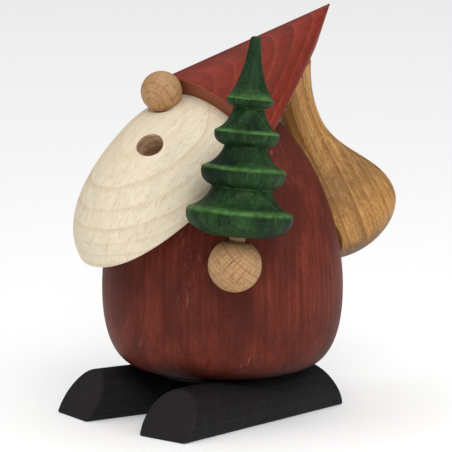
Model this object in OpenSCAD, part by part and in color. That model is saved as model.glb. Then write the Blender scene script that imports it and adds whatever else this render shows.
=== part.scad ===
// Turned-wood incense smoker in the shape of a gnome with a tree and a sack.
// The gnome looks along -Y, Z is up, and the smoker stands on z = 0.
// The figure lifts off a round plug that carries the incense, and smoke leaves by the mouth.

/* [Body] */
// Largest radius of the turned egg
body_r = 45; // [44:0.5:46]
// Height of the widest place of the egg
body_waist_z = 47; // [45:1:49]
// Height at which the whole egg would close
body_top_z = 119; // [117:1:121]
// Radius of the body's foot ring
body_foot_r = 29; // [28:0.5:30]

/* [Smoke chamber] */
// Radius of the chamber bored from below
chamber_r = 20; // [18:0.5:21]
// Height of the chamber's ceiling
chamber_top_z = 80; // [74:1:81]
// Radius of the plug that the figure stands over
plug_r = 24; // [23:0.5:25]
// Height of the plug's top
plug_top_z = 27; // [25:1:30]
// Radius of the mouth hole
mouth_r = 5; // [4:0.5:5]
// Radius of the two draft holes in the plug
draft_r = 3; // [2:0.5:3.5]

/* [Seat of the head] */
// Slope of the flat that the beard and hat are glued on
seat_slope = 36; // [35:0.5:37]
// Height of the seat where beard and hat meet
seat_z = 101.5; // [100.5:0.5:102.5]
// How far that place lies in front of the body's axis
seat_front = 4.3; // [3.5:0.1:5]

/* [Beard] */
// Length of the half egg
beard_len = 70; // [68:1:71]
// Largest radius of the half egg
beard_r = 27.4; // [26.5:0.1:28]
// Radius where the beard meets the hat
beard_top_r = 23.1; // [22.5:0.1:24]
// How far the mouth lies down the beard
mouth_down = 30; // [28:1:32]
// How far round the beard the mouth lies, towards the gnome's left
mouth_turn = 21.5; // [0:0.5:25]

/* [Hat] */
// Length of the cone
hat_len = 76; // [72:1:78]
// Radius of the cone's rim
hat_r = 28.6; // [28:0.1:29]
// Height of the cone's axis above the seat at the rim
hat_lift = 2.6; // [2:0.1:3]

/* [Balls] */
// Radius of the nose ball
nose_r = 7.5; // [7:0.1:8]
// Radius of the hand ball
hand_r = 9.5; // [9:0.1:10]

/* [Tree] */
// Radius of the lowest tier
tree_r = 19.0; // [18:0.1:19.5]
// Height of the tree above the rim of its lowest tier
tree_h = 63; // [61:0.5:65]
// How far the tree leans back
tree_lean = 7; // [6:0.5:9]

/* [Sack] */
// Largest radius of the onion
sack_r = 25.2; // [24.5:0.1:26]
// Length of the onion with its neck
sack_len = 80; // [78:1:81]
// How far the onion's axis leans forward
sack_lean = 25.4; // [24.5:0.1:26.5]

/* [Feet] */
// Radius of the round bar that each foot is cut from
foot_r = 11.9; // [11.5:0.1:12.5]
// Height of a foot
foot_h = 17; // [16.5:0.1:17]
// Distance from the middle to each foot's centre line
foot_side = 18.4; // [17.5:0.1:19.5]
// How far each foot turns its toe out
foot_splay = 8.4; // [6:0.1:10]
// Length of a foot's sole in front of the body's axis
toe_len = 52.4; // [50:0.1:54]
// Length of a foot's sole behind the body's axis
heel_len = 39.3; // [37:0.1:41]

/* [Dowels] */
// Radius of the beech dowels
dowel_r = 3; // [2.5:0.1:3]
// Radius of the thinner dowels between plug and feet
foot_dowel_r = 2.5; // [2:0.1:3]

/* [Hidden] */

$fn = 96;
far = 200;            // size of the blocks that cut flats
steps = 14;           // pieces in each curved stretch of an outline
glue = 0.04;          // radial room for glue round a dowel
plug_gap = 0.08;      // radial room between plug and body
rest_gap = 0.2;       // room between the feet and the body that rests on them

body_bottom_z = foot_h + rest_gap;
plug_bottom_z = 14.5;
recess_top_z = plug_top_z + 1.5;

// The hat's cone is pitched a little steeper than the seat
hat_pitch = 1.7;
hat_rim_round = 1.2;
hat_tip_r = 0.6;

// Nose: down the beard from the hat's rim, and up from the seat
nose_down = 8.5;
nose_up = 31.1;
nose_flat = 5.2;      // from the ball's centre to its glued flat

// Mouth: its height above the beard's axis, and the rake that keeps it square to the surface
mouth_up = 26.7;
mouth_rake = 5;

// Sack: the pole of the onion, and the flat that is glued on the body
sack_y = 63.7;
sack_z = 54.8;
sack_flat = 15.5;     // from the onion's axis to the flat
neck_r = 7.6;
neck_end_r = 11.5;

// Hand and tree stand on one leaning axis
hand_pos = [47.95, -36.2, 64.2];
hand_top = 8.3;       // from the hand's centre to the flat under the tree
tree_rim = 17.7;      // from the hand's centre to the rim of the lowest tier
tree_under = 7.3;     // from that rim down to the tree's underside

// The whole smoker is set with the middle of its outline over the origin: between the tree
// and the body's far side, and between the beard's front and the sack's back
beard_reach = max([for (p = beard_outline()) p[1] * cos(seat_slope) + p[0] * sin(seat_slope)]);
sack_reach = max([for (p = sack_outline()) p[0] * cos(sack_lean) - p[1] * sin(sack_lean)]);
axis_x = -(hand_pos[0] + tree_r - body_r) / 2;
axis_y = -(sack_y + sack_reach - seat_front - beard_reach) / 2;

nose_dowel_r = 1.5;
peg_r = 2.8;          // the tree's peg

// Incense plate and the nail that holds it
plate_r = 13;
plate_t = 0.6;
nail_r = 0.9;
nail_len = 9;
nail_head_r = 2.2;
nail_head_h = 0.9;

red = [0.50, 0.16, 0.11];
bright_red = [0.60, 0.20, 0.15];
cream = [0.90, 0.83, 0.70];
tan = [0.80, 0.62, 0.42];
gold = [0.75, 0.52, 0.26];
green = [0.12, 0.28, 0.15];
black = [0.10, 0.10, 0.11];

// Point on a cubic curve with four handles
function cubic(p, t) = pow(1 - t, 3) * p[0] + 3 * pow(1 - t, 2) * t * p[1]
                     + 3 * (1 - t) * pow(t, 2) * p[2] + pow(t, 3) * p[3];
// Point on a quadratic curve with three handles
function quad(p, t) = pow(1 - t, 2) * p[0] + 2 * (1 - t) * t * p[1] + pow(t, 2) * p[2];
// A curve without its first point, so that stretches join without doubling
function cubic_run(p, n = steps) = [for (i = [1 : n]) cubic(p, i / n)];
function quad_run(p, n = steps) = [for (i = [1 : n]) quad(p, i / n)];

// Places the child relative to the body's axis
module place() {
    translate([axis_x, axis_y, 0]) children();
}

// Local frame of the seat: X to the gnome's left, Y uphill, Z out of the seat
module on_seat() {
    place() translate([0, -seat_front, seat_z]) rotate([seat_slope, 0, 0]) children();
}

// Local frame of the sack: Z along the onion, -Y towards the body
module on_sack() {
    place() translate([0, sack_y, sack_z]) rotate([sack_lean, 0, 0]) children();
}

// Local frame of hand and tree: Z up the tree, origin in the hand's centre
module on_hand() {
    place() translate(hand_pos) rotate([-tree_lean, 0, 0]) children();
}

// Local frame of a foot: X outwards, -Y towards the toe; side is 1 or -1
module on_foot(side) {
    place() mirror([side < 0 ? 1 : 0, 0, 0])
        translate([foot_side, 0, 0]) rotate([0, 0, foot_splay]) children();
}

// A turned piece with a rounded end chamfer at both ends, standing on z = 0
module dowel(r, h) {
    edge = 0.5;
    rotate_extrude()
        polygon([[0, 0], [r - edge, 0], [r, edge], [r, h - edge], [r - edge, h], [0, h]]);
}

// Everything below z = 0 of the current frame
module below(size = far) {
    translate([-size / 2, -size / 2, -size]) cube(size);
}

// Everything above z = 0 of the current frame
module above(size = far) {
    translate([-size / 2, -size / 2, 0]) cube(size);
}

// ---- Base ----

module foot_solid(side) {
    centre_z = foot_h - foot_r;
    front_lean = 33.4;
    heel_lean = 29.5;
    round_r = 1;
    sole_half = sqrt(pow(foot_r, 2) - pow(centre_z, 2));
    difference() {
        on_foot(side)
            difference() {
                translate([0, heel_len, 0]) rotate([90, 0, 0]) linear_extrude(toe_len + heel_len)
                    difference() {
                        translate([0, centre_z]) circle(foot_r);
                        translate([-far / 2, -far]) square([far, far]);
                        for (s = [-1, 1])
                            translate([s * (sole_half + 0.2), 0]) rotate(45)
                                square(round_r, center = true);
                    }
                translate([0, -toe_len, 0]) rotate([90 - front_lean, 0, 0]) above();
                translate([0, heel_len, 0]) rotate([heel_lean - 90, 0, 0]) above();
            }
        place() translate([0, 0, plug_bottom_z]) cylinder(r = plug_r + plug_gap, h = foot_h);
        foot_dowels(side, glue);
    }
}

// Two dowels side by side along each foot, from inside the foot into the plug
module foot_dowels(side, grow = 0) {
    bottom_z = 7;
    length = 15;
    inset = 2.5;
    spread = 8;
    on_foot(side)
        for (y = [-spread, spread])
            translate([-inset, y, bottom_z - grow]) dowel(foot_dowel_r + grow, length + 2 * grow);
}

module foot_left() { color(black) foot_solid(1); }
module foot_right() { color(black) foot_solid(-1); }
module foot_dowels_left() { color(tan) foot_dowels(1); }
module foot_dowels_right() { color(tan) foot_dowels(-1); }

// Round plug that the figure slides over, with two draft holes
module base_plug() {
    edge = 1;
    height = plug_top_z - plug_bottom_z;
    color(black) difference() {
        place() translate([0, 0, plug_bottom_z])
            rotate_extrude()
                polygon([[0, 0], [plug_r, 0], [plug_r, height - edge], [plug_r - edge, height],
                         [0, height]]);
        place() for (s = [-1, 1])
            translate([0, s * (plug_r - 2.2 * draft_r), plug_bottom_z - 1])
                cylinder(r = draft_r, h = height + 2);
        foot_dowels(1, glue);
        foot_dowels(-1, glue);
        place() translate([0, 0, plug_top_z - nail_len]) cylinder(r = nail_r, h = nail_len + 1);
    }
}

// Pressed metal dish with a low turned-up rim
module incense_plate() {
    rim_h = 1.4;
    color("silver") place() translate([0, 0, plug_top_z])
        difference() {
            cylinder(r = plate_r, h = rim_h);
            translate([0, 0, plate_t]) cylinder(r1 = plate_r - 1.6, r2 = plate_r - 0.6, h = rim_h);
            translate([0, 0, -1]) cylinder(r = nail_r + 0.1, h = 3);
        }
}

module plate_nail() {
    color("silver") place() translate([0, 0, plug_top_z + plate_t])
        rotate_extrude()
            polygon(concat([[0, -nail_len], [nail_r, 1.5 - nail_len], [nail_r, 0], [nail_head_r, 0]],
                           quad_run([[nail_head_r, 0], [nail_head_r, nail_head_h], [0, nail_head_h]], 6)));
}

// ---- Figure ----

// Outer outline of the egg, from its foot ring up
function egg_outline() = concat(
    [[0, body_bottom_z], [body_foot_r, body_bottom_z]],
    cubic_run([[body_foot_r, body_bottom_z], [body_r - 5, body_bottom_z + 0.3],
               [body_r, body_waist_z - 18], [body_r, body_waist_z]]),
    cubic_run([[body_r, body_waist_z], [body_r, body_waist_z + 36],
               [body_r * 0.49, body_top_z], [0, body_top_z]]));

// The mouth, drilled square to the beard's surface down to the seat
module mouth_hole() {
    depth = 32;
    on_seat() rotate([0, mouth_turn, 0]) translate([0, -mouth_down, mouth_up])
        rotate([mouth_rake, 0, 0]) translate([0, 0, -depth]) cylinder(r = mouth_r, h = depth + 9);
}

// The hole that leads on from the mouth hole, drilled into the body square to the seat
module seat_hole() {
    on_seat() translate([0, mouth_up * sin(mouth_rake) - mouth_down, -20])
        cylinder(r = mouth_r + 0.5, h = 21);
}

module body_shell() {
    ceiling_round = 6;
    color(red) difference() {
        place() rotate_extrude($fn = 128) polygon(egg_outline());
        on_seat() above();
        on_sack() translate([0, -sack_flat, 0]) rotate([-90, 0, 0]) above();
        place() translate([0, 0, body_bottom_z - 1])
            cylinder(r = plug_r + plug_gap, h = recess_top_z - body_bottom_z + 1);
        place() rotate_extrude()
            polygon(concat([[0, recess_top_z - 1], [chamber_r, recess_top_z - 1],
                            [chamber_r, chamber_top_z - ceiling_round]],
                           quad_run([[chamber_r, chamber_top_z - ceiling_round],
                                     [chamber_r, chamber_top_z],
                                     [chamber_r - ceiling_round, chamber_top_z]], 6),
                           [[0, chamber_top_z]]));
        seat_hole();
        beard_dowel_at(glue);
        hat_dowel_at(glue);
        sack_dowel_at(glue);
        hand_dowel_at(glue);
    }
}

// Outline of the beard's half egg: radius and distance down the seat
function beard_outline() = concat(
    cubic_run([[beard_top_r, 0], [beard_top_r + 2.3, 5.5], [beard_r, 12], [beard_r, 19]], 8),
    cubic_run([[beard_r, 19], [beard_r, 45], [beard_r * 0.73, beard_len], [0, beard_len]]));

// Half egg along -Y of the seat's frame
module beard_solid() {
    overlap = 3;
    rotate([90, 0, 0]) rotate_extrude($fn = 128)
        polygon(concat([[0, -overlap], [beard_top_r - 1.2, -overlap], [beard_top_r, 0]],
                       beard_outline()));
}

// Plane of the hat's rim: everything behind it
module behind_rim() {
    translate([0, 0, hat_lift]) rotate([hat_pitch, 0, 0]) rotate([-90, 0, 0]) above();
}

module beard() {
    color(cream) difference() {
        on_seat() difference() {
            beard_solid();
            below();
            behind_rim();
            translate([0, -nose_down, nose_up - nose_flat]) cylinder(r = nose_r, h = nose_r);
        }
        mouth_hole();
        beard_dowel_at(glue);
        nose_dowel_at(glue);
    }
}

module hat() {
    color(bright_red) difference() {
        on_seat() difference() {
            translate([0, 0, hat_lift]) rotate([hat_pitch - 90, 0, 0])
                rotate_extrude($fn = 128)
                    polygon(concat([[0, 0], [hat_r - hat_rim_round, 0]],
                                   quad_run([[hat_r - hat_rim_round, 0], [hat_r, 0],
                                             [hat_r - 0.5, hat_rim_round]], 5),
                                   [[hat_tip_r, hat_len - 1.2]],
                                   [[hat_tip_r * 0.6, hat_len - 0.2], [0, hat_len]]));
            below();
        }
        hat_dowel_at(glue);
    }
}

// Dowels, also used with some growth as the holes that take them
module beard_dowel_at(grow = 0) {
    on_seat() translate([0, -12, -9 - grow]) dowel(dowel_r + grow, 20 + 2 * grow);
}
module hat_dowel_at(grow = 0) {
    on_seat() translate([0, 12, -10 - grow]) dowel(dowel_r + grow, 22 + 2 * grow);
}
module nose_dowel_at(grow = 0) {
    on_seat() translate([0, -nose_down, nose_up - nose_flat - 6 - grow])
        dowel(nose_dowel_r + grow, 11 + 2 * grow);
}
module sack_dowel_at(grow = 0) {
    on_sack() translate([0, -sack_flat - 11 - grow, 18]) rotate([-90, 0, 0])
        dowel(dowel_r + grow, 24 + 2 * grow);
}
module hand_dowel_at(grow = 0) {
    reach = norm([hand_pos[0], hand_pos[1]]);
    turn = atan2(hand_pos[1], hand_pos[0]);
    place() rotate([0, 0, turn]) translate([reach - 4 + grow, 0, hand_pos[2]]) rotate([0, -90, 0])
        dowel(dowel_r + grow, 20 + 2 * grow);
}
module tree_peg_at(grow = 0) {
    on_hand() translate([0, 0, 4 - grow]) dowel(peg_r + grow, 15 + 2 * grow);
}

module beard_dowel() { color(tan) beard_dowel_at(); }
module hat_dowel() { color(tan) hat_dowel_at(); }
module nose_dowel() { color(tan) nose_dowel_at(); }
module sack_dowel() { color(tan) sack_dowel_at(); }
module hand_dowel() { color(tan) hand_dowel_at(); }
module tree_peg() { color(tan) tree_peg_at(); }

module nose() {
    color(tan) difference() {
        on_seat() difference() {
            translate([0, -nose_down, nose_up]) sphere(nose_r);
            translate([0, 0, nose_up - nose_flat]) below();
        }
        nose_dowel_at(glue);
    }
}

// Outline of the onion: radius and distance from its pole
function sack_outline() = concat(
    [[0, 0]],
    cubic_run([[0, 0], [12.2, 0], [sack_r, 8.6], [sack_r, 17.2]], 12),
    cubic_run([[sack_r, 17.2], [sack_r, 30], [neck_r - 0.2, 40], [neck_r, 57.6]]),
    cubic_run([[neck_r, 57.6], [neck_r - 0.3, 65.6], [neck_end_r - 2, sack_len - 6],
               [neck_end_r, sack_len - 1]], 8),
    [[neck_end_r - 1, sack_len], [0, sack_len]]);

// Onion with a flared neck, cut flat where it is glued on the body and under the hat
module sack() {
    color(gold) difference() {
        on_sack() difference() {
            rotate_extrude($fn = 128) polygon(sack_outline());
            translate([0, -sack_flat, 0]) rotate([90, 0, 0]) above();
        }
        on_seat() above();
        sack_dowel_at(glue);
    }
}

module hand() {
    color(tan) difference() {
        on_hand() difference() {
            sphere(hand_r);
            translate([0, 0, hand_top]) above();
        }
        hand_dowel_at(glue);
        tree_peg_at(glue);
    }
}

// One tier: a full underside, a rounded rim and a hollow slope up to the next neck.
// neck is the radius and height below, rim the widest place, top the radius and height above.
function tier(neck, rim, top) =
    let (shoulder = [rim[0] * 0.94, rim[1] + rim[0] * 0.11])
    concat(quad_run([neck, [rim[0], neck[1] + 0.25 * (rim[1] - neck[1])], rim], 6),
           quad_run([rim, [rim[0], shoulder[1]], shoulder], 3),
           quad_run([shoulder, [top[0] + 0.24 * (shoulder[0] - top[0]),
                                shoulder[1] + 0.28 * (top[1] - shoulder[1])], top], 8));

// Rims and necks of the four tiers as shares of the tree's radius and height
rims = [[1, 0], [0.79, 0.243], [0.61, 0.452], [0.45, 0.641]];
necks = [[0.562, 0.154], [0.404, 0.383], [0.293, 0.599], [0.1, 0.985]];
function tree_point(share) = [share[0] * tree_r, share[1] * tree_h];

module tree() {
    underside = [12, -tree_under];
    color(green) difference() {
        on_hand() translate([0, 0, tree_rim])
            rotate_extrude()
                polygon(concat([[0, -tree_under], underside],
                               tier(underside, tree_point(rims[0]), tree_point(necks[0])),
                               [for (i = [1 : 3])
                                   each tier(tree_point(necks[i - 1]), tree_point(rims[i]),
                                             tree_point(necks[i]))],
                               quad_run([tree_point(necks[3]), [tree_r * 0.09, tree_h],
                                         [0, tree_h]], 5)));
        tree_peg_at(glue);
    }
}

foot_left();
foot_right();
foot_dowels_left();
foot_dowels_right();
base_plug();
incense_plate();
plate_nail();
body_shell();
beard();
beard_dowel();
hat();
hat_dowel();
nose();
nose_dowel();
sack();
sack_dowel();
hand();
hand_dowel();
tree();
tree_peg();
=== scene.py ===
# Looks of a turned-wood incense smoker shaped as a gnome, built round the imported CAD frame.
# Shapes are drawn in millimetres, in each piece's own local frame, and stored in metres.
import math

import bmesh
import bpy
from mathutils import Euler, Matrix, Vector, kdtree, noise


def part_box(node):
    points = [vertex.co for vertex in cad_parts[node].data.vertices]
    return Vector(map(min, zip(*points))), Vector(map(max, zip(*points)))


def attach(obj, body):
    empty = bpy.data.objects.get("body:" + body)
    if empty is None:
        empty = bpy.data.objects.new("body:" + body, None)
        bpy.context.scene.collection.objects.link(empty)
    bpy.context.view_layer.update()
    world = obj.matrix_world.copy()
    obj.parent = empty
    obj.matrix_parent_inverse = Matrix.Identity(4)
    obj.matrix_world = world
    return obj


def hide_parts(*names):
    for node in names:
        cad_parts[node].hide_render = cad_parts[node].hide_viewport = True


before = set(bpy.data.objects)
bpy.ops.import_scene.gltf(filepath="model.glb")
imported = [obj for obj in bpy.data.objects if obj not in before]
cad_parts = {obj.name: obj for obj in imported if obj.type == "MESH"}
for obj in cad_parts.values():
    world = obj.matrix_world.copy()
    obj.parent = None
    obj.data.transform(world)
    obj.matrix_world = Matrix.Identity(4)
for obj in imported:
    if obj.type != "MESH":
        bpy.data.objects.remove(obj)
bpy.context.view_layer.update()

MM = 0.001
TURNS = 144          # faces round a turned piece
FLAT_CORNERS = 14    # a face with this many corners is a sawn flat
SMOOTH_BELOW = math.radians(38)

# ---- Places, read from the frame ----


def corners(node):
    """Lowest and highest corner of a CAD node, in millimetres."""
    low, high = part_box(node)
    return low / MM, high / MM


def ball_of(node, cut_above):
    """Centre and radius of a ball that a flat cuts off above or below."""
    low, high = corners(node)
    radius = (high.x - low.x) / 2
    centre = (low + high) / 2
    centre.z = low.z + radius if cut_above else high.z - radius
    return centre, radius


plug_low, plug_high = corners("base_plug")
AXIS = Vector(((plug_low.x + plug_high.x) / 2, (plug_low.y + plug_high.y) / 2, 0))
PLUG_R = (plug_high.x - plug_low.x) / 2
PLUG_GAP = 0.08
BODY_BOTTOM = corners("body_shell")[0].z
BODY_R = AXIS.x - corners("body_shell")[0].x
FOOT_H = corners("foot_left")[1].z
HAND_CENTRE, HAND_R = ball_of("hand", True)
NOSE_CENTRE, NOSE_R = ball_of("nose", False)


def local_frame(place, degrees=0.0, letter="X"):
    """A local frame at a place relative to the body's axis, turned about one axis."""
    return Matrix.Translation(AXIS + Vector(place)) @ Matrix.Rotation(math.radians(degrees), 4, letter)


# The seat is the flat that beard and hat are glued on: Y runs uphill and Z out of it
SEAT_SLOPE = 36
SEAT = local_frame((0, -4.3, 101.5), SEAT_SLOPE)
SACK = local_frame((0, 63.7, 54.8), 25.4)
SACK_FLAT = 15.5     # distance from the sack's axis to the flat that is glued to the body
HAT_LIFT = 2.6       # height of the hat's axis over the seat, at the rim
HAT_PITCH = 1.7
HAT = SEAT @ Matrix.Translation((0, 0, HAT_LIFT)) @ Matrix.Rotation(math.radians(HAT_PITCH - 90), 4, "X")
BEARD = SEAT @ Matrix.Rotation(math.radians(90), 4, "X")
NOSE = Matrix.Translation(NOSE_CENTRE) @ Matrix.Rotation(math.radians(SEAT_SLOPE), 4, "X")
NOSE_FLAT = -5.2     # where the nose's flat lies along its own Z axis, counted from its centre
TREE_LEAN = 7
HAND = Matrix.Translation(HAND_CENTRE) @ Matrix.Rotation(math.radians(-TREE_LEAN), 4, "X")
HAND_TOP = 8.3       # the same for the hand's flat
TREE = HAND @ Matrix.Translation((0, 0, 17.7))    # middle of the lowest rim
MOUTH_R = 5
MOUTH_DOWN = 30      # from the seat's middle down the slope
MOUTH_HEIGHT = 26.7  # over the seat
MOUTH_TILT = 5
MOUTH = (SEAT @ Matrix.Rotation(math.radians(21.5), 4, "Y")
         @ Matrix.Translation((0, -MOUTH_DOWN, MOUTH_HEIGHT))
         @ Matrix.Rotation(math.radians(MOUTH_TILT), 4, "X"))


def foot_frame(side):
    """A foot's local frame: X outwards and -Y towards the toe. side is 1 or -1."""
    mirror = Matrix.Diagonal((side, 1, 1, 1))
    return (Matrix.Translation(AXIS) @ mirror @ Matrix.Translation((18.4, 0, 0))
            @ Matrix.Rotation(math.radians(8.4), 4, "Z"))


# ---- Outlines ----


def curve(points, count):
    """Points along a Bezier curve of any degree, without its first point."""
    degree = len(points) - 1
    made = []
    for step in range(1, count + 1):
        t = step / count
        weights = [math.comb(degree, i) * (1 - t) ** (degree - i) * t ** i for i in range(degree + 1)]
        made.append(tuple(sum(w * p[axis] for w, p in zip(weights, points)) for axis in (0, 1)))
    return made


def stretch(start, end, count):
    """Points along a straight stretch, without its first point."""
    return curve([start, end], count)


def egg_outline():
    """The hollow body: from the chamber's ceiling down, round the foot ring and up the outside."""
    foot_r = 29
    waist_z = 47
    top_z = 119
    chamber_r = 20
    ceiling_z = 80
    corner = 6
    recess_r = PLUG_R + PLUG_GAP
    recess_z = plug_high.z + 1.5
    edge = 0.5
    return ([(0, ceiling_z)] + stretch((0, ceiling_z), (chamber_r - corner, ceiling_z), 4)
            + curve([(chamber_r - corner, ceiling_z), (chamber_r, ceiling_z),
                     (chamber_r, ceiling_z - corner)], 6)
            + stretch((chamber_r, ceiling_z - corner), (chamber_r, recess_z), 12)
            + stretch((chamber_r, recess_z), (recess_r, recess_z), 2)
            + stretch((recess_r, recess_z), (recess_r, BODY_BOTTOM + edge), 4)
            + curve([(recess_r, BODY_BOTTOM + edge), (recess_r, BODY_BOTTOM),
                     (recess_r + edge, BODY_BOTTOM)], 3)
            + stretch((recess_r + edge, BODY_BOTTOM), (foot_r, BODY_BOTTOM), 3)
            + curve([(foot_r, BODY_BOTTOM), (BODY_R - 5, BODY_BOTTOM + 0.3),
                     (BODY_R, waist_z - 18), (BODY_R, waist_z)], 40)
            + curve([(BODY_R, waist_z), (BODY_R, waist_z + 36), (BODY_R * 0.49, top_z), (0, top_z)], 70))


def beard_outline():
    """The beard's half egg: radius and distance down the seat."""
    radius = 27.4
    length = 70
    top_r = 23.1
    overlap = 3
    return ([(0, -overlap), (top_r - 1.2, -overlap), (top_r, 0)]
            + curve([(top_r, 0), (top_r + 2.3, 5.5), (radius, 12), (radius, 19)], 18)
            + curve([(radius, 19), (radius, 45), (radius * 0.73, length), (0, length)], 70))


def hat_outline():
    """The cone, from the middle of its base to its tip."""
    rim_r = 28.6
    rim_round = 1.2
    length = 76
    tip_r = 0.6
    return (stretch((0, 0), (rim_r - rim_round, 0), 6) + [(rim_r - rim_round, 0)]
            + curve([(rim_r - rim_round, 0), (rim_r, 0), (rim_r - 0.5, rim_round)], 6)
            + stretch((rim_r - 0.5, rim_round), (tip_r, length - 1.2), 60)
            + curve([(tip_r, length - 1.2), (tip_r * 0.6, length), (0, length)], 4))


def sack_outline():
    """The onion and its flared neck, from its pole up."""
    radius = 25.2
    neck_r = 7.6
    end_r = 11.5
    length = 80
    return ([(0, 0)] + curve([(0, 0), (12.2, 0), (radius, 8.6), (radius, 17.2)], 36)
            + curve([(radius, 17.2), (radius, 30), (neck_r - 0.2, 40), (neck_r, 57.6)], 46)
            + curve([(neck_r, 57.6), (neck_r - 0.3, 65.6), (end_r - 2, length - 6),
                     (end_r, length - 1)], 22)
            + curve([(end_r, length - 1), (end_r, length), (end_r - 1, length)], 3) + [(0, length)])


def ball_outline(radius, steps=48):
    """A ball from its lower pole to its upper one."""
    angles = [math.pi * step / steps for step in range(steps + 1)]
    return [(radius * math.sin(a) if 0 < step < steps else 0, -radius * math.cos(a))
            for step, a in enumerate(angles)]


def tier(neck, rim, top):
    """One tier of the tree: full underside, rounded rim and hollow slope up to the next neck."""
    shoulder = (rim[0] * 0.94, rim[1] + rim[0] * 0.11)
    sag = (top[0] + 0.24 * (shoulder[0] - top[0]), shoulder[1] + 0.28 * (top[1] - shoulder[1]))
    return (curve([neck, (rim[0], neck[1] + 0.25 * (rim[1] - neck[1])), rim], 14)
            + curve([rim, (rim[0], shoulder[1]), shoulder], 7)
            + curve([shoulder, sag, top], 18))


def tree_outline():
    """Four tiers above each other, as shares of the tree's radius and height."""
    radius = (corners("tree")[1].x - corners("tree")[0].x) / 2
    height = 63
    under = 7.3
    rims = [(1, 0), (0.79, 0.243), (0.61, 0.452), (0.45, 0.641)]
    necks = [(0.562, 0.154), (0.404, 0.383), (0.293, 0.599), (0.1, 0.985)]
    rims = [(r * radius, h * height) for r, h in rims]
    necks = [(r * radius, h * height) for r, h in necks]
    outline = [(0, -under), (11.2, -under), (12, -under + 0.5)]
    for neck, rim, top in zip([outline[-1]] + necks, rims, necks):
        outline += tier(neck, rim, top)
    return outline + curve([necks[-1], (radius * 0.09, height), (0, height)], 8)


# ---- Mesh work ----


def turned(outline, place):
    """The outline of (radius, height) points turned about the local Z axis."""
    bm = bmesh.new()
    rings = []
    for radius, height in outline:
        if radius < 1e-6:
            rings.append([bm.verts.new((0, 0, height))])
            continue
        angles = [2 * math.pi * step / TURNS for step in range(TURNS)]
        rings.append([bm.verts.new((radius * math.cos(a), radius * math.sin(a), height)) for a in angles])
    for low, high in zip(rings, rings[1:]):
        for i in range(TURNS):
            j = (i + 1) % TURNS
            around = [low[i % len(low)], low[j % len(low)], high[j % len(high)], high[i % len(high)]]
            bm.faces.new(dict.fromkeys(around))
    bm.transform(place)
    bmesh.ops.recalc_face_normals(bm, faces=bm.faces)
    return bm


def slice_off(bm, point, normal, edge=0.4):
    """Saws off what lies on the normal's side of a plane and closes the flat. Its rim is rounded
    by `edge`, or left sharp at 0."""
    whole = bm.verts[:] + bm.edges[:] + bm.faces[:]
    cut = bmesh.ops.bisect_plane(bm, geom=whole, plane_co=point, plane_no=normal, clear_outer=True)
    rim = [v for v in cut["geom_cut"] if isinstance(v, bmesh.types.BMVert)]
    if edge:
        near = kdtree.KDTree(len(rim))
        for i, vert in enumerate(rim):
            near.insert(vert.co, i)
        near.balance()
        on_rim = set(rim)
        crowded = [v for v in bm.verts if v not in on_rim and (v.co - point).dot(normal) > -1.4 * edge]
        bmesh.ops.weld_verts(bm, targetmap={v: rim[near.find(v.co)[1]] for v in crowded})
        bmesh.ops.remove_doubles(bm, verts=[v for v in rim if v.is_valid], dist=0.7 * edge)
    open_edges = [e for e in bm.edges if e.is_boundary]
    bmesh.ops.edgeloop_fill(bm, edges=open_edges)
    if edge:
        bmesh.ops.bevel(bm, geom=open_edges, offset=edge, segments=3, profile=0.5, affect="EDGES")
    bmesh.ops.recalc_face_normals(bm, faces=bm.faces)


def slice_in(bm, place, axis, edge=0.4):
    """Saws off what lies on the far side of a local frame's own plane, along one of its axes."""
    normal = (place.to_3x3() @ Vector(axis)).normalized()
    slice_off(bm, place.translation, normal, edge)


def sand(bm, depth, size):
    """Takes a little off the surface unevenly, as sanding by hand does."""
    bm.normal_update()
    for vert in bm.verts:
        worn = 0.5 + 0.5 * noise.noise(vert.co / size)
        vert.co -= vert.normal * depth * worn


def object_from(name, bm):
    """A Blender object, in metres, from a bmesh in millimetres."""
    bm.transform(Matrix.Scale(MM, 4))
    mesh = bpy.data.meshes.new(name)
    bm.to_mesh(mesh)
    bm.free()
    made = bpy.data.objects.new(name, mesh)
    bpy.context.scene.collection.objects.link(made)
    return made


def carve(piece, cutter_bm, material):
    """Subtracts a closed cutter from the piece; the cut takes the material."""
    cutter = object_from("cutter", cutter_bm)
    cutter.data.materials.append(material)
    modifier = piece.modifiers.new("carve", "BOOLEAN")
    modifier.operation = "DIFFERENCE"
    modifier.solver = "EXACT"
    modifier.material_mode = "TRANSFER"
    modifier.object = cutter
    evaluated = piece.evaluated_get(bpy.context.evaluated_depsgraph_get())
    mesh = bpy.data.meshes.new_from_object(evaluated)
    piece.modifiers.clear()
    piece.data = mesh
    bpy.data.objects.remove(cutter)


def smooth(piece):
    """Shades curves smooth and keeps sawn flats and sharp corners crisp."""
    bm = bmesh.new()
    bm.from_mesh(piece.data)
    for face in bm.faces:
        face.smooth = True
    for line in bm.edges:
        flat = any(len(face.verts) > FLAT_CORNERS for face in line.link_faces)
        line.smooth = not flat and line.calc_face_angle(math.pi) < SMOOTH_BELOW
    bm.to_mesh(piece.data)
    bm.free()


def rod(radius, bottom, top, place):
    """A plain round cutter along the local Z axis."""
    return turned([(0, bottom), (radius, bottom), (radius, top), (0, top)], place)


def mount(piece, body):
    """Finishes a piece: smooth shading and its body."""
    smooth(piece)
    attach(piece, body)


# ---- Materials ----


def tint(red, green, blue):
    """A display colour, 0 to 255, as the linear colour that a shader takes."""
    values = [channel / 255 for channel in (red, green, blue)]
    linear = [v / 12.92 if v < 0.04045 else ((v + 0.055) / 1.055) ** 2.4 for v in values]
    return (*linear, 1)


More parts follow.
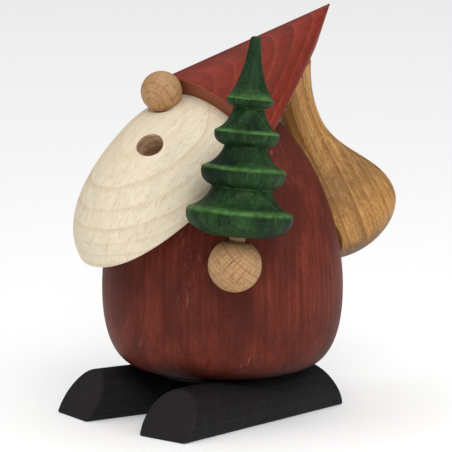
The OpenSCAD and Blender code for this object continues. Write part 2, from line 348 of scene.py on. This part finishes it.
class Graph:
    """Makes a material's nodes and links them as they are made."""

    def __init__(self, name):
        self.material = bpy.data.materials.new(name)
        self.material.use_nodes = True
        self.tree = self.material.node_tree
        self.shader = self.tree.nodes["Principled BSDF"]

    def feed(self, socket, value):
        """Links an output to the socket, or sets the socket's own value."""
        if isinstance(value, bpy.types.NodeSocket):
            self.tree.links.new(value, socket)
        else:
            socket.default_value = value

    def node(self, kind, inputs, **settings):
        made = self.tree.nodes.new(kind)
        for key, value in settings.items():
            setattr(made, key, value)
        for key, value in inputs.items():
            self.feed(made.inputs[key], value)
        return made

    def math(self, operation, a, b=0.0, c=0.0):
        return self.node("ShaderNodeMath", {0: a, 1: b, 2: c}, operation=operation).outputs[0]

    def vector(self, operation, a, b=(0, 0, 0)):
        return self.node("ShaderNodeVectorMath", {0: a, 1: b}, operation=operation).outputs[0]

    def mix(self, share, a, b, blend="MIX"):
        made = self.node("ShaderNodeMix", {0: share, 6: a, 7: b}, data_type="RGBA", blend_type=blend)
        return made.outputs[2]

    def spread(self, value, low, high, to_low=0.0, to_high=1.0):
        """Maps low..high to to_low..to_high with soft ends."""
        inputs = {0: value, 1: low, 2: high, 3: to_low, 4: to_high}
        return self.node("ShaderNodeMapRange", inputs, interpolation_type="SMOOTHSTEP").outputs[0]

    def ramp(self, value, stops):
        """A grey ramp through (position, level) stops."""
        made = self.node("ShaderNodeValToRGB", {0: value})
        elements = made.color_ramp.elements
        while len(elements) < len(stops):
            elements.new(0.5)
        for element, (position, level) in zip(elements, stops):
            element.position = position
            element.color = (level, level, level, 1)
        return made.outputs[0]

    def noise(self, vector, stretch_by, detail=2.0, output=0):
        """Noise whose waves are 1 / stretch_by millimetres long on each axis."""
        scaled = self.vector("MULTIPLY", vector, stretch_by)
        inputs = {"Vector": scaled, "Scale": 1.0, "Detail": detail}
        return self.node("ShaderNodeTexNoise", inputs).outputs[output]

    def local(self, place):
        """Position in a local frame, in millimetres."""
        inverse = place.inverted()
        where = self.node("ShaderNodeTexCoord", {}).outputs["Object"]
        inputs = {"Vector": where, "Location": inverse.translation,
                  "Rotation": inverse.to_euler("XYZ"), "Scale": (1 / MM, 1 / MM, 1 / MM)}
        return self.node("ShaderNodeMapping", inputs).outputs[0]

    def facing(self, place):
        """1 where the surface faces along the local Z axis, where the end grain shows."""
        normal = self.node("ShaderNodeTexCoord", {}).outputs["Normal"]
        axis = (place.to_3x3() @ Vector((0, 0, 1))).normalized()
        share = self.node("ShaderNodeVectorMath", {0: normal, 1: axis}, operation="DOT_PRODUCT")
        return self.spread(self.math("ABSOLUTE", share.outputs["Value"]), 0.3, 0.95)

    def sharp_edges(self, radius):
        """1 along sharp edges, 0 on smooth faces."""
        rounded = self.node("ShaderNodeBevel", {"Radius": radius * MM}, samples=4).outputs[0]
        normal = self.node("ShaderNodeNewGeometry", {}).outputs["Normal"]
        turned_by = self.node("ShaderNodeVectorMath", {0: rounded, 1: normal}, operation="DOT_PRODUCT")
        return self.spread(turned_by.outputs["Value"], 0.995, 0.93)


def wood(name, place, pith, ring, early, late, *, late_share=0.35, ring_depth=1.0, wander=1.5,
         uneven=1.6, first=0.0, line=0.0, line_tint=None, fibre=0.25,
         rays=0.0, ray_tint=None, ray_gap=0.55, ray_height=2.2, ray_from=0.58,
         pores=0.0, pore_tint=None, pore_size=(0.34, 2.8),
         blotch=0.2, blotch_tint=None, blotch_size=14, worn=None, wear_and_highlight_share=0.5, scuffs_and_sheen=0.0,
         end_grain_and_shade=0.0, end_grain_and_shade_tint=None, rough=0.5, coat=0.0, coat_rough=0.3, bump=0.3, specular=0.3,
         recolour=None, seed=0.0):
    """Solid wood cut from a trunk. Its grain runs along the local Z of `place`, and `pith` is the
    trunk's middle in that frame, so that rings, rays and pores show as each face really cuts them.
    Sizes are in millimetres; shares, from rings to scuffs_and_sheen, run from 0 to 1. `recolour` takes
    the graph and the colour, and returns the colour changed in places, as for the tree's painted rim
    highlights."""
    g = Graph(name)
    grain = g.vector("ADD", g.local(place), (0, 0, seed * 100))
    drift = g.noise(grain, (1 / 26, 1 / 26, 1 / 70), 2.0, output=1)
    drift = g.vector("SUBTRACT", drift, (0.5, 0.5, 0.5))
    drift = g.vector("MULTIPLY", drift, (2 * wander, 2 * wander, 0))
    bent = g.vector("ADD", grain, drift)
    from_pith = g.vector("MULTIPLY", g.vector("SUBTRACT", bent, (*pith, 0)), (1, 1, 0))
    radius = g.node("ShaderNodeVectorMath", {0: from_pith}, operation="LENGTH").outputs["Value"]
    parts = g.node("ShaderNodeSeparateXYZ", {0: from_pith}).outputs
    angle = g.math("ARCTAN2", parts[1], parts[0])
    height = g.node("ShaderNodeSeparateXYZ", {0: grain}).outputs[2]

    # Growth rings of uneven width and strength, soft on the inner side and sudden on the outer one
    years = g.math("DIVIDE", radius, ring)
    if uneven:
        width = g.node("ShaderNodeTexNoise", {"W": g.math("MULTIPLY", years, 0.37), "Scale": 1.0},
                       noise_dimensions="1D").outputs[0]
        years = g.math("ADD", years, g.math("MULTIPLY", width, uneven))
    years = g.math("ADD", years, first)
    growth = g.math("FRACT", years)
    dark_band = g.ramp(growth, [(0.0, 0.25), (0.06, 0.0), (1 - late_share, 0.12), (0.93, 0.9),
                                (1.0, 1.0)])
    strength = g.node("ShaderNodeTexWhiteNoise", {"W": g.math("FLOOR", years)},
                      noise_dimensions="1D").outputs[0]
    strength = g.math("MULTIPLY_ADD", strength, 0.6, 0.4)
    band = g.math("MULTIPLY", g.math("MULTIPLY", dark_band, strength), ring_depth)
    colour = g.mix(band, early, late)
    if line:
        thin = g.ramp(growth, [(0.0, 0.7), (0.03, 1.0), (0.10, 0.5), (0.22, 0.0), (0.995, 0.0),
                               (1.0, 0.7)])
        thin = g.math("MULTIPLY", g.math("MULTIPLY", thin, strength), line)
        colour = g.mix(thin, colour, line_tint)

    # Fine fibres along the grain
    strands = g.noise(grain, (2.6, 2.6, 0.05), 3.0)
    broad = g.noise(grain, (0.45, 0.45, 0.016), 2.0)
    shade = g.math("ADD", g.math("MULTIPLY", g.spread(strands, 0.3, 0.7), 0.5),
                   g.math("MULTIPLY", g.spread(broad, 0.3, 0.7), 0.5))
    darker = g.mix(1.0, colour, tint(150, 135, 125), "MULTIPLY")
    colour = g.mix(g.math("MULTIPLY", shade, fibre * 2), colour, darker)
    relief = g.math("MULTIPLY", strands, 0.5)

    # Clouds of thicker stain or natural colour
    cloud_size = (1 / blotch_size, 1 / blotch_size, 0.6 / blotch_size)
    clouds = g.noise(g.vector("ADD", grain, (31, 17, 5)), cloud_size, 4.0)
    colour = g.mix(g.math("MULTIPLY", g.spread(clouds, 0.42, 0.68), blotch), colour, blotch_tint or late)

    if rays:
        reach = math.hypot(*pith)
        sheet = g.node("ShaderNodeCombineXYZ", {0: g.math("MULTIPLY", angle, reach / ray_gap),
                                                1: g.math("DIVIDE", height, ray_height),
                                                2: g.math("DIVIDE", radius, 9.0)}).outputs[0]
        flecks = g.node("ShaderNodeTexNoise", {"Vector": sheet, "Scale": 1.0, "Detail": 1.0}).outputs[0]
        flecks = g.spread(flecks, ray_from, ray_from + 0.1)
        colour = g.mix(g.math("MULTIPLY", flecks, rays), colour, ray_tint)
        relief = g.math("SUBTRACT", relief, g.math("MULTIPLY", flecks, 0.3))

    if pores:
        width, length = pore_size
        dots = g.spread(g.noise(grain, (1 / width, 1 / width, 1 / length), 1.0), 0.60, 0.70)
        crowd = g.math("MULTIPLY", dots, g.spread(growth, 0.75, 0.1, 0.35, 1.0))
        colour = g.mix(g.math("MULTIPLY", crowd, pores), colour, pore_tint)
        relief = g.math("SUBTRACT", relief, g.math("MULTIPLY", crowd, 0.9))

    # Tinted where the surface faces along the grain: end grain, and on the sack painted shade on its
    # underside.
    if end_grain_and_shade:
        colour = g.mix(g.math("MULTIPLY", g.facing(place), end_grain_and_shade), colour, end_grain_and_shade_tint or late)
    # Colour changed after the grain, such as the tree's painted rim highlights
    if recolour:
        colour = recolour(g, colour)

    roughness = g.math("ADD", g.math("MULTIPLY", clouds, 0.22), rough - 0.11)
    # Lighter along sharp edges: stain rubbed thin, and on the tree's rims partly a painted highlight.
    if worn:
        patchy = g.noise(grain, (0.35, 0.35, 0.35), 3.0)
        edge = g.math("MULTIPLY", g.sharp_edges(0.7), g.spread(patchy, 0.38, 0.62))
        colour = g.mix(g.math("MULTIPLY", edge, wear_and_highlight_share), colour, worn)

    # Whitish flecks along the grain: scuffs in the stain, and a painted speckled sheen.
    if scuffs_and_sheen:
        grain_flecks = g.noise(g.vector("ADD", grain, (3, 9, seed * 7)), (0.9, 0.9, 0.14), 4.0)
        fleck_patches = g.noise(g.vector("ADD", grain, (12, 5, 40)), (0.05, 0.05, 0.03), 1.0)
        scuff_and_sheen = g.math("MULTIPLY", g.spread(grain_flecks, 0.56, 0.74), g.spread(fleck_patches, 0.55, 0.72))
        colour = g.mix(g.math("MULTIPLY", scuff_and_sheen, scuffs_and_sheen), colour, tint(214, 178, 170))
        roughness = g.math("ADD", roughness, g.math("MULTIPLY", scuff_and_sheen, 0.2))

    shader = g.shader
    g.feed(shader.inputs["Base Color"], colour)
    g.feed(shader.inputs["Roughness"], roughness)
    shader.inputs["Specular IOR Level"].default_value = specular
    shader.inputs["Coat Weight"].default_value = coat
    shader.inputs["Coat Roughness"].default_value = coat_rough
    lift = g.node("ShaderNodeBump", {"Height": relief, "Strength": bump, "Distance": 0.12 * MM})
    g.feed(shader.inputs["Normal"], lift.outputs[0])
    return g.material


def paint_rim_highlights(g, colour):
    """Painted highlight in streaks on the upward-facing tops of the tree's rims, and darker green towards
    its tip.
    """
    lowest_rim_r = 19.0
    taper = 0.26         # how much smaller the rims get for each millimetre of height
    where = g.local(TREE)
    flat = g.vector("MULTIPLY", where, (1, 1, 0))
    radius = g.node("ShaderNodeVectorMath", {0: flat}, operation="LENGTH").outputs["Value"]
    height = g.node("ShaderNodeSeparateXYZ", {0: where}).outputs[2]
    rim_radius = g.math("SUBTRACT", lowest_rim_r, g.math("MULTIPLY", height, taper))
    reach = g.math("DIVIDE", radius, rim_radius)
    normal = g.node("ShaderNodeTexCoord", {}).outputs["Normal"]
    axis = HAND.to_3x3() @ Vector((0, 0, 1))
    upward = g.node("ShaderNodeVectorMath", {0: normal, 1: axis},
                    operation="DOT_PRODUCT").outputs["Value"]
    # Darker green towards the tip
    colour = g.mix(g.math("MULTIPLY", g.spread(height, 42, 50), 0.4), colour, tint(14, 36, 24))
    # Painted highlight: a lighter band, in streaks, on the rims' upward-facing tops
    streaks = g.spread(g.noise(where, (0.35, 0.35, 0.12), 3.0), 0.4, 0.62)
    on_top = g.math("MULTIPLY", g.spread(reach, 0.84, 0.97), g.spread(upward, 0.02, 0.4))
    rim_highlight = g.math("MULTIPLY", g.math("MULTIPLY_ADD", streaks, 0.36, 0.3), on_top)
    return g.mix(rim_highlight, colour, tint(88, 136, 68))


def toward(degrees, distance):
    """A point at a distance in a direction, counted from +X towards +Y."""
    angle = math.radians(degrees)
    return (distance * math.cos(angle), distance * math.sin(angle))


def steel(name):
    """Pressed steel with fine concentric marks and a bloom of heat round its middle."""
    g = Graph(name)
    place = local_frame((0, 0, plug_high.z))
    where = g.local(place)
    flat = g.vector("MULTIPLY", where, (1, 1, 0))
    radius = g.node("ShaderNodeVectorMath", {0: flat}, operation="LENGTH").outputs["Value"]
    marks = g.node("ShaderNodeTexNoise",
                   {"W": g.math("MULTIPLY", radius, 3.0), "Scale": 1.0, "Detail": 3.0},
                   noise_dimensions="1D").outputs[0]
    clouds = g.noise(where, (0.22, 0.22, 0.22), 4.0)
    heat = g.spread(g.math("ADD", radius, g.math("MULTIPLY", clouds, 8.0)), 12.0, 5.0)
    colour = g.mix(g.math("MULTIPLY", heat, 0.45), tint(196, 190, 180), tint(130, 104, 78))
    g.feed(g.shader.inputs["Base Color"], colour)
    g.shader.inputs["Metallic"].default_value = 1.0
    g.feed(g.shader.inputs["Roughness"], g.math("MULTIPLY_ADD", clouds, 0.3, 0.5))
    lift = g.node("ShaderNodeBump", {"Height": marks, "Strength": 0.25, "Distance": 0.05 * MM})
    g.feed(g.shader.inputs["Normal"], lift.outputs[0])
    return g.material


def beech(name, place, pith, seed, **changes):
    """Bare beech of the balls and dowels: tan, with dark pores and ray flecks."""
    look = dict(ring=1.6, early=tint(192, 152, 106), late=tint(160, 116, 76), late_share=0.4,
                ring_depth=0.8, wander=0.8, fibre=0.2, rays=0.55, ray_tint=tint(146, 98, 62),
                ray_gap=0.5, ray_height=2.0, pores=0.6, pore_tint=tint(122, 80, 50), blotch=0.2,
                blotch_tint=tint(190, 132, 84), rough=0.52, bump=0.35, seed=seed)
    look.update(changes)
    return wood(name, place, pith, **look)


VIEW_SIDE = -41.2    # direction from the body's axis towards the camera, counted from +X

# The body's dark end tint makes it darker towards its bottom and top, where the surface faces along the
# grain.
red_wood = wood(
    "red_stain", local_frame((0, 0, 47)), toward(-94, 66), 2.6, tint(124, 57, 44), tint(86, 36, 28),
    late_share=0.75, ring_depth=0.5, wander=1.9, uneven=1.3, first=0.9, line=0.2,
    line_tint=tint(142, 74, 56), fibre=0.34, rays=0.3, ray_tint=tint(70, 26, 19), ray_gap=0.5,
    ray_height=1.0, pores=0.3, pore_tint=tint(60, 23, 16), blotch=0.8, blotch_tint=tint(76, 35, 28),
    blotch_size=20, worn=tint(146, 82, 66), scuffs_and_sheen=0.16, end_grain_and_shade=0.9, end_grain_and_shade_tint=tint(38, 16, 12),
    rough=0.5, coat=0.05, coat_rough=0.34, bump=0.35, specular=0.05, seed=0.0)
hat_wood = wood(
    "hat_stain", HAT, toward(-75, 75), 4.3, tint(148, 52, 38), tint(98, 42, 31),
    late_share=0.85, ring_depth=0.75, wander=1.2, uneven=0.0, first=0.465, line=0.24,
    line_tint=tint(180, 104, 80), fibre=0.3, rays=0.35, ray_tint=tint(104, 40, 30), ray_gap=0.45,
    ray_height=1.6, blotch=0.5, blotch_tint=tint(104, 44, 34), worn=tint(204, 136, 114),
    wear_and_highlight_share=0.8, scuffs_and_sheen=0.15, end_grain_and_shade=0.8, end_grain_and_shade_tint=tint(150, 88, 66), rough=0.48, coat=0.12,
    coat_rough=0.32, bump=0.25, specular=0.06, seed=0.3)
pale_wood = wood(
    "pale_wood", BEARD, toward(-94, 40), 4.0, tint(232, 220, 195), tint(204, 174, 130),
    late_share=0.3, ring_depth=0.42, wander=1.5, uneven=0.8, fibre=0.12, rays=0.75,
    ray_tint=tint(196, 160, 118), ray_gap=0.2, ray_height=3.4, ray_from=0.63, blotch=0.25,
    blotch_tint=tint(222, 204, 172), blotch_size=18, worn=tint(222, 202, 170), wear_and_highlight_share=0.5,
    rough=0.55, bump=0.2, specular=0.2, seed=0.6)
bore_wood = wood(
    "bore_wood", BEARD, (4, -14), 3.0, tint(240, 208, 172), tint(190, 150, 112),
    fibre=0.35, rays=0.5, ray_tint=tint(160, 122, 90), blotch=0.5, blotch_tint=tint(150, 112, 84),
    blotch_size=5, rough=0.75, bump=0.5, seed=0.65)
# The sack's dark end tint is painted shade on its downward-facing bulb, as well as its end grain.
golden_wood = wood(
    "golden_wood", SACK, toward(-100, 60), 3.2, tint(214, 162, 94), tint(148, 100, 50),
    late_share=0.6, ring_depth=1.0, wander=1.6, uneven=1.2, line=0.7, line_tint=tint(238, 198, 134),
    fibre=0.42, rays=0.25, ray_tint=tint(214, 168, 104), ray_gap=0.4, ray_height=0.8, pores=1.0,
    pore_tint=tint(120, 74, 34), pore_size=(0.3, 1.2), blotch=0.35, blotch_tint=tint(156, 106, 56),
    blotch_size=20, worn=tint(222, 180, 120), wear_and_highlight_share=0.5, end_grain_and_shade=0.95, end_grain_and_shade_tint=tint(88, 58, 30),
    rough=0.48, bump=0.4, specular=0.2, seed=0.9)
# The tree's lighter edge tint is partly a painted highlight on its rims, and its recolouring paints a
# highlight band on the rims' tops.
green_wood = wood(
    "green_stain", HAND, toward(150, 34), 5.5, tint(44, 80, 42), tint(15, 35, 24),
    late_share=0.9, ring_depth=0.45, wander=4.0, line=0.2, line_tint=tint(92, 134, 68), fibre=0.5,
    rays=0.15, ray_tint=tint(72, 110, 56), ray_gap=0.6, ray_height=1.6, blotch=0.9,
    blotch_tint=tint(10, 26, 18), blotch_size=11, worn=tint(112, 158, 84),
    wear_and_highlight_share=0.6, rough=0.55, coat=0.02, coat_rough=0.4, bump=0.45, specular=0.1, recolour=paint_rim_highlights,
    seed=1.2)


def black_wood(name, along):
    """Black stain over the grain, a little greyer where the saw cut the end."""
    return wood(
        f"black_stain_{name}", along, toward(-70, 40), 1.8, tint(36, 34, 34), tint(24, 23, 23),
        late_share=0.4, ring_depth=0.6, fibre=0.3, rays=0.3, ray_tint=tint(46, 44, 43), blotch=0.4,
        blotch_tint=tint(26, 25, 25), worn=tint(76, 72, 68), wear_and_highlight_share=0.5, end_grain_and_shade=0.5,
        end_grain_and_shade_tint=tint(46, 44, 43), rough=0.65, bump=0.35, specular=0.12, seed=len(name))


# ---- Pieces that replace plain CAD nodes ----


def make_body():
    bm = turned(egg_outline(), Matrix.Translation(AXIS))
    slice_in(bm, SEAT, (0, 0, 1), 0.2)
    slice_in(bm, SACK @ Matrix.Translation((0, -SACK_FLAT, 0)), (0, 1, 0), 0.15)
    piece = object_from("turned_body", bm)
    piece.data.materials.append(red_wood)
    down = MOUTH_DOWN - MOUTH_HEIGHT * math.sin(math.radians(MOUTH_TILT))
    smoke_hole = SEAT @ Matrix.Translation((0, -down, 0))
    carve(piece, rod(MOUTH_R + 0.5, -20, 1, smoke_hole), bore_wood)
    return piece


def make_beard():
    bm = turned(beard_outline(), BEARD)
    slice_in(bm, SEAT, (0, 0, -1), 0.5)
    behind_rim = (SEAT @ Matrix.Translation((0, 0, HAT_LIFT))
                  @ Matrix.Rotation(math.radians(HAT_PITCH), 4, "X"))
    slice_in(bm, behind_rim, (0, 1, 0), 0.2)
    piece = object_from("turned_beard", bm)
    piece.data.materials.append(pale_wood)
    carve(piece, rod(MOUTH_R, -40, 9, MOUTH), bore_wood)
    spotface = NOSE @ Matrix.Translation((0, 0, NOSE_FLAT))
    carve(piece, rod(NOSE_R, 0, 8, spotface), pale_wood)
    return piece


def make_hat():
    bm = turned(hat_outline(), HAT)
    slice_in(bm, SEAT, (0, 0, -1), 0)
    piece = object_from("turned_hat", bm)
    piece.data.materials.append(hat_wood)
    return piece


def make_sack():
    bm = turned(sack_outline(), SACK)
    slice_in(bm, SACK @ Matrix.Translation((0, -SACK_FLAT, 0)), (0, -1, 0), 0.2)
    slice_in(bm, SEAT, (0, 0, 1), 0.2)
    piece = object_from("turned_sack", bm)
    piece.data.materials.append(golden_wood)
    return piece


def make_nose():
    bm = turned(ball_outline(NOSE_R), NOSE)
    slice_in(bm, NOSE @ Matrix.Translation((0, 0, NOSE_FLAT)), (0, 0, -1), 0.15)
    piece = object_from("turned_nose", bm)
    piece.data.materials.append(beech("nose_beech", NOSE, toward(-78, 26), 2.0, ring=1.2, wander=2.4,
                                      late=tint(140, 98, 62), late_share=0.3, ring_depth=1.0))
    return piece


def make_hand():
    bm = turned(ball_outline(HAND_R), HAND)
    slice_in(bm, HAND @ Matrix.Translation((0, 0, HAND_TOP)), (0, 0, 1), 0.3)
    piece = object_from("turned_hand", bm)
    end_on = Matrix.Translation(HAND_CENTRE) @ Euler(
        (math.radians(82), 0, math.radians(90 + VIEW_SIDE)), "XYZ").to_matrix().to_4x4()
    piece.data.materials.append(beech("hand_beech", end_on, toward(45, 30), 2.4, ring=1.5, rays=0.9,
                                      ray_gap=0.5, ray_tint=tint(130, 92, 62), late=tint(118, 80, 52),
                                      late_share=0.25, ring_depth=1.0))
    return piece


def make_tree():
    bm = turned(tree_outline(), TREE)
    sand(bm, 0.2, 6)
    piece = object_from("turned_tree", bm)
    piece.data.materials.append(green_wood)
    return piece


def make_foot(side):
    """A round bar with a flat sole, sawn to a slant at toe and heel, with a seat for the plug."""
    bar_r = 11.9
    toe_length = 52.4
    heel_length = 39.3
    toe_lean = 33.4
    heel_lean = 29.5
    centre_z = FOOT_H - bar_r
    half_sole = math.sqrt(bar_r ** 2 - centre_z ** 2)
    chamfer = 0.55
    start = math.asin((chamfer - centre_z) / bar_r)
    arc_steps = 60
    sweep = [start + (math.pi - 2 * start) * step / arc_steps for step in range(arc_steps + 1)]
    section = [(bar_r * math.cos(a), centre_z + bar_r * math.sin(a)) for a in sweep]
    section += [(chamfer - half_sole, 0), (half_sole - chamfer, 0)]
    slices = 40
    bm = bmesh.new()
    rings = []
    for step in range(slices + 1):
        y = -toe_length - 2 + (toe_length + heel_length + 4) * step / slices
        rings.append([bm.verts.new((x, y, z)) for x, z in section])
    for near, far in zip(rings, rings[1:]):
        for i in range(len(section)):
            j = (i + 1) % len(section)
            bm.faces.new((near[i], near[j], far[j], far[i]))
    bm.faces.new(rings[0])
    bm.faces.new(rings[-1])
    bmesh.ops.recalc_face_normals(bm, faces=bm.faces)
    for y, lean, way in ((-toe_length, 90 - toe_lean, -1), (heel_length, heel_lean - 90, 1)):
        plane = Matrix.Translation((0, y, 0)) @ Matrix.Rotation(math.radians(lean), 4, "X")
        slice_in(bm, plane, (0, 0, 1), 0.6)
    sand(bm, 0.12, 9)
    bm.transform(foot_frame(side))
    bmesh.ops.recalc_face_normals(bm, faces=bm.faces)
    name = "sawn_foot_left" if side > 0 else "sawn_foot_right"
    piece = object_from(name, bm)
    material = black_wood(name, foot_frame(side) @ Matrix.Rotation(math.radians(90), 4, "X"))
    piece.data.materials.append(material)
    carve(piece, rod(PLUG_R + PLUG_GAP, plug_low.z, FOOT_H + 5, Matrix.Translation(AXIS)), material)
    return piece


body = make_body()
mount(body, "figure")
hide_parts("body_shell")
beard = make_beard()
mount(beard, "figure")
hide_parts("beard")
hat = make_hat()
mount(hat, "figure")
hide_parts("hat")
sack = make_sack()
mount(sack, "figure")
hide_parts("sack")
nose = make_nose()
mount(nose, "figure")
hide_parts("nose")
hand = make_hand()
mount(hand, "figure")
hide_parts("hand")
tree = make_tree()
mount(tree, "figure")
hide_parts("tree")
for side, node in ((1, "foot_left"), (-1, "foot_right")):
    foot = make_foot(side)
    mount(foot, "base")
    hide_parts(node)

# ---- CAD nodes that stay, with better materials ----


def coat_node(name, material):
    """Gives a CAD node its material."""
    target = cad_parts[name]
    target.data.materials.clear()
    target.data.materials.append(material)


dowel_wood = beech("dowel_beech", local_frame((0, 0, 0)), toward(20, 60), 3.0)
coat_node("base_plug", black_wood("plug", local_frame((0, 0, 20))))
plate_steel = steel("plate_steel")
for name in ("incense_plate", "plate_nail"):
    coat_node(name, plate_steel)
for name in sorted(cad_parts):
    if "dowel" in name or name == "tree_peg":
        coat_node(name, dowel_wood)

# ---- Floor, light and camera ----


def make_floor():
    """A wide pale floor under the smoker."""
    size = 8
    bm = bmesh.new()
    bmesh.ops.create_grid(bm, x_segments=4, y_segments=4, size=size)
    mesh = bpy.data.meshes.new("floor")
    bm.to_mesh(mesh)
    bm.free()
    floor = bpy.data.objects.new("floor", mesh)
    bpy.context.scene.collection.objects.link(floor)
    g = Graph("floor_paper")
    g.shader.inputs["Base Color"].default_value = (0.95, 0.95, 0.945, 1)
    g.shader.inputs["Roughness"].default_value = 0.9
    g.shader.inputs["Emission Color"].default_value = (1, 1, 1, 1)
    g.shader.inputs["Emission Strength"].default_value = 0.12
    floor.data.materials.append(g.material)


def softbox(name, turn, elevation, distance, size, power):
    """A square light that looks at the smoker; turn is counted from the camera's side, to the right."""
    middle = Vector((AXIS.x, AXIS.y, 70)) * MM
    angle = math.radians(VIEW_SIDE + turn)
    tilt = math.radians(elevation)
    away = Vector((math.cos(angle) * math.cos(tilt), math.sin(angle) * math.cos(tilt), math.sin(tilt)))
    light = bpy.data.lights.new(name, "AREA")
    light.shape = "RECTANGLE"
    light.size, light.size_y = size
    light.energy = power
    lamp = bpy.data.objects.new(name, light)
    lamp.location = middle + away * distance
    lamp.rotation_euler = (-away).to_track_quat("-Z", "Y").to_euler()
    bpy.context.scene.collection.objects.link(lamp)


def make_light():
    world = bpy.data.worlds.new("studio")
    world.use_nodes = True
    tree = world.node_tree
    background = tree.nodes["Background"]
    background.inputs[0].default_value = (1, 1, 1, 1)
    # Polished surfaces mirror a dimmer room than the one that lights them
    path = tree.nodes.new("ShaderNodeLightPath")
    level = tree.nodes.new("ShaderNodeMapRange")
    level.inputs[3].default_value = 0.34
    level.inputs[4].default_value = 0.06
    tree.links.new(path.outputs["Is Glossy Ray"], level.inputs[0])
    tree.links.new(level.outputs[0], background.inputs[1])
    bpy.context.scene.world = world
    softbox("ceiling", 0, 89, 3.0, (10, 10), 200)
    softbox("key_front", 8, 38, 1.0, (0.4, 0.5), 3.6)
    softbox("fill_right", 60, 14, 1.1, (0.25, 0.6), 1.2)
    bpy.context.scene.view_settings.view_transform = "Standard"


def make_camera():
    """A long lens, slightly above the smoker, 48.75 degrees round from its front."""
    azimuth = math.radians(48.75)
    elevation = math.radians(8.15)
    away = Vector((761.16, -665.78, 214.40))
    forward = Vector((-math.sin(azimuth) * math.cos(elevation), math.cos(azimuth) * math.cos(elevation),
                      -math.sin(elevation)))
    lens = bpy.data.cameras.new("camera")
    lens.sensor_width = 36
    lens.lens = 218.35
    lens.clip_start = 0.01
    camera = bpy.data.objects.new("camera", lens)
    camera.location = (AXIS + away) * MM
    camera.rotation_euler = forward.to_track_quat("-Z", "Y").to_euler()
    bpy.context.scene.collection.objects.link(camera)
    bpy.context.scene.camera = camera


make_floor()
make_light()
make_camera()
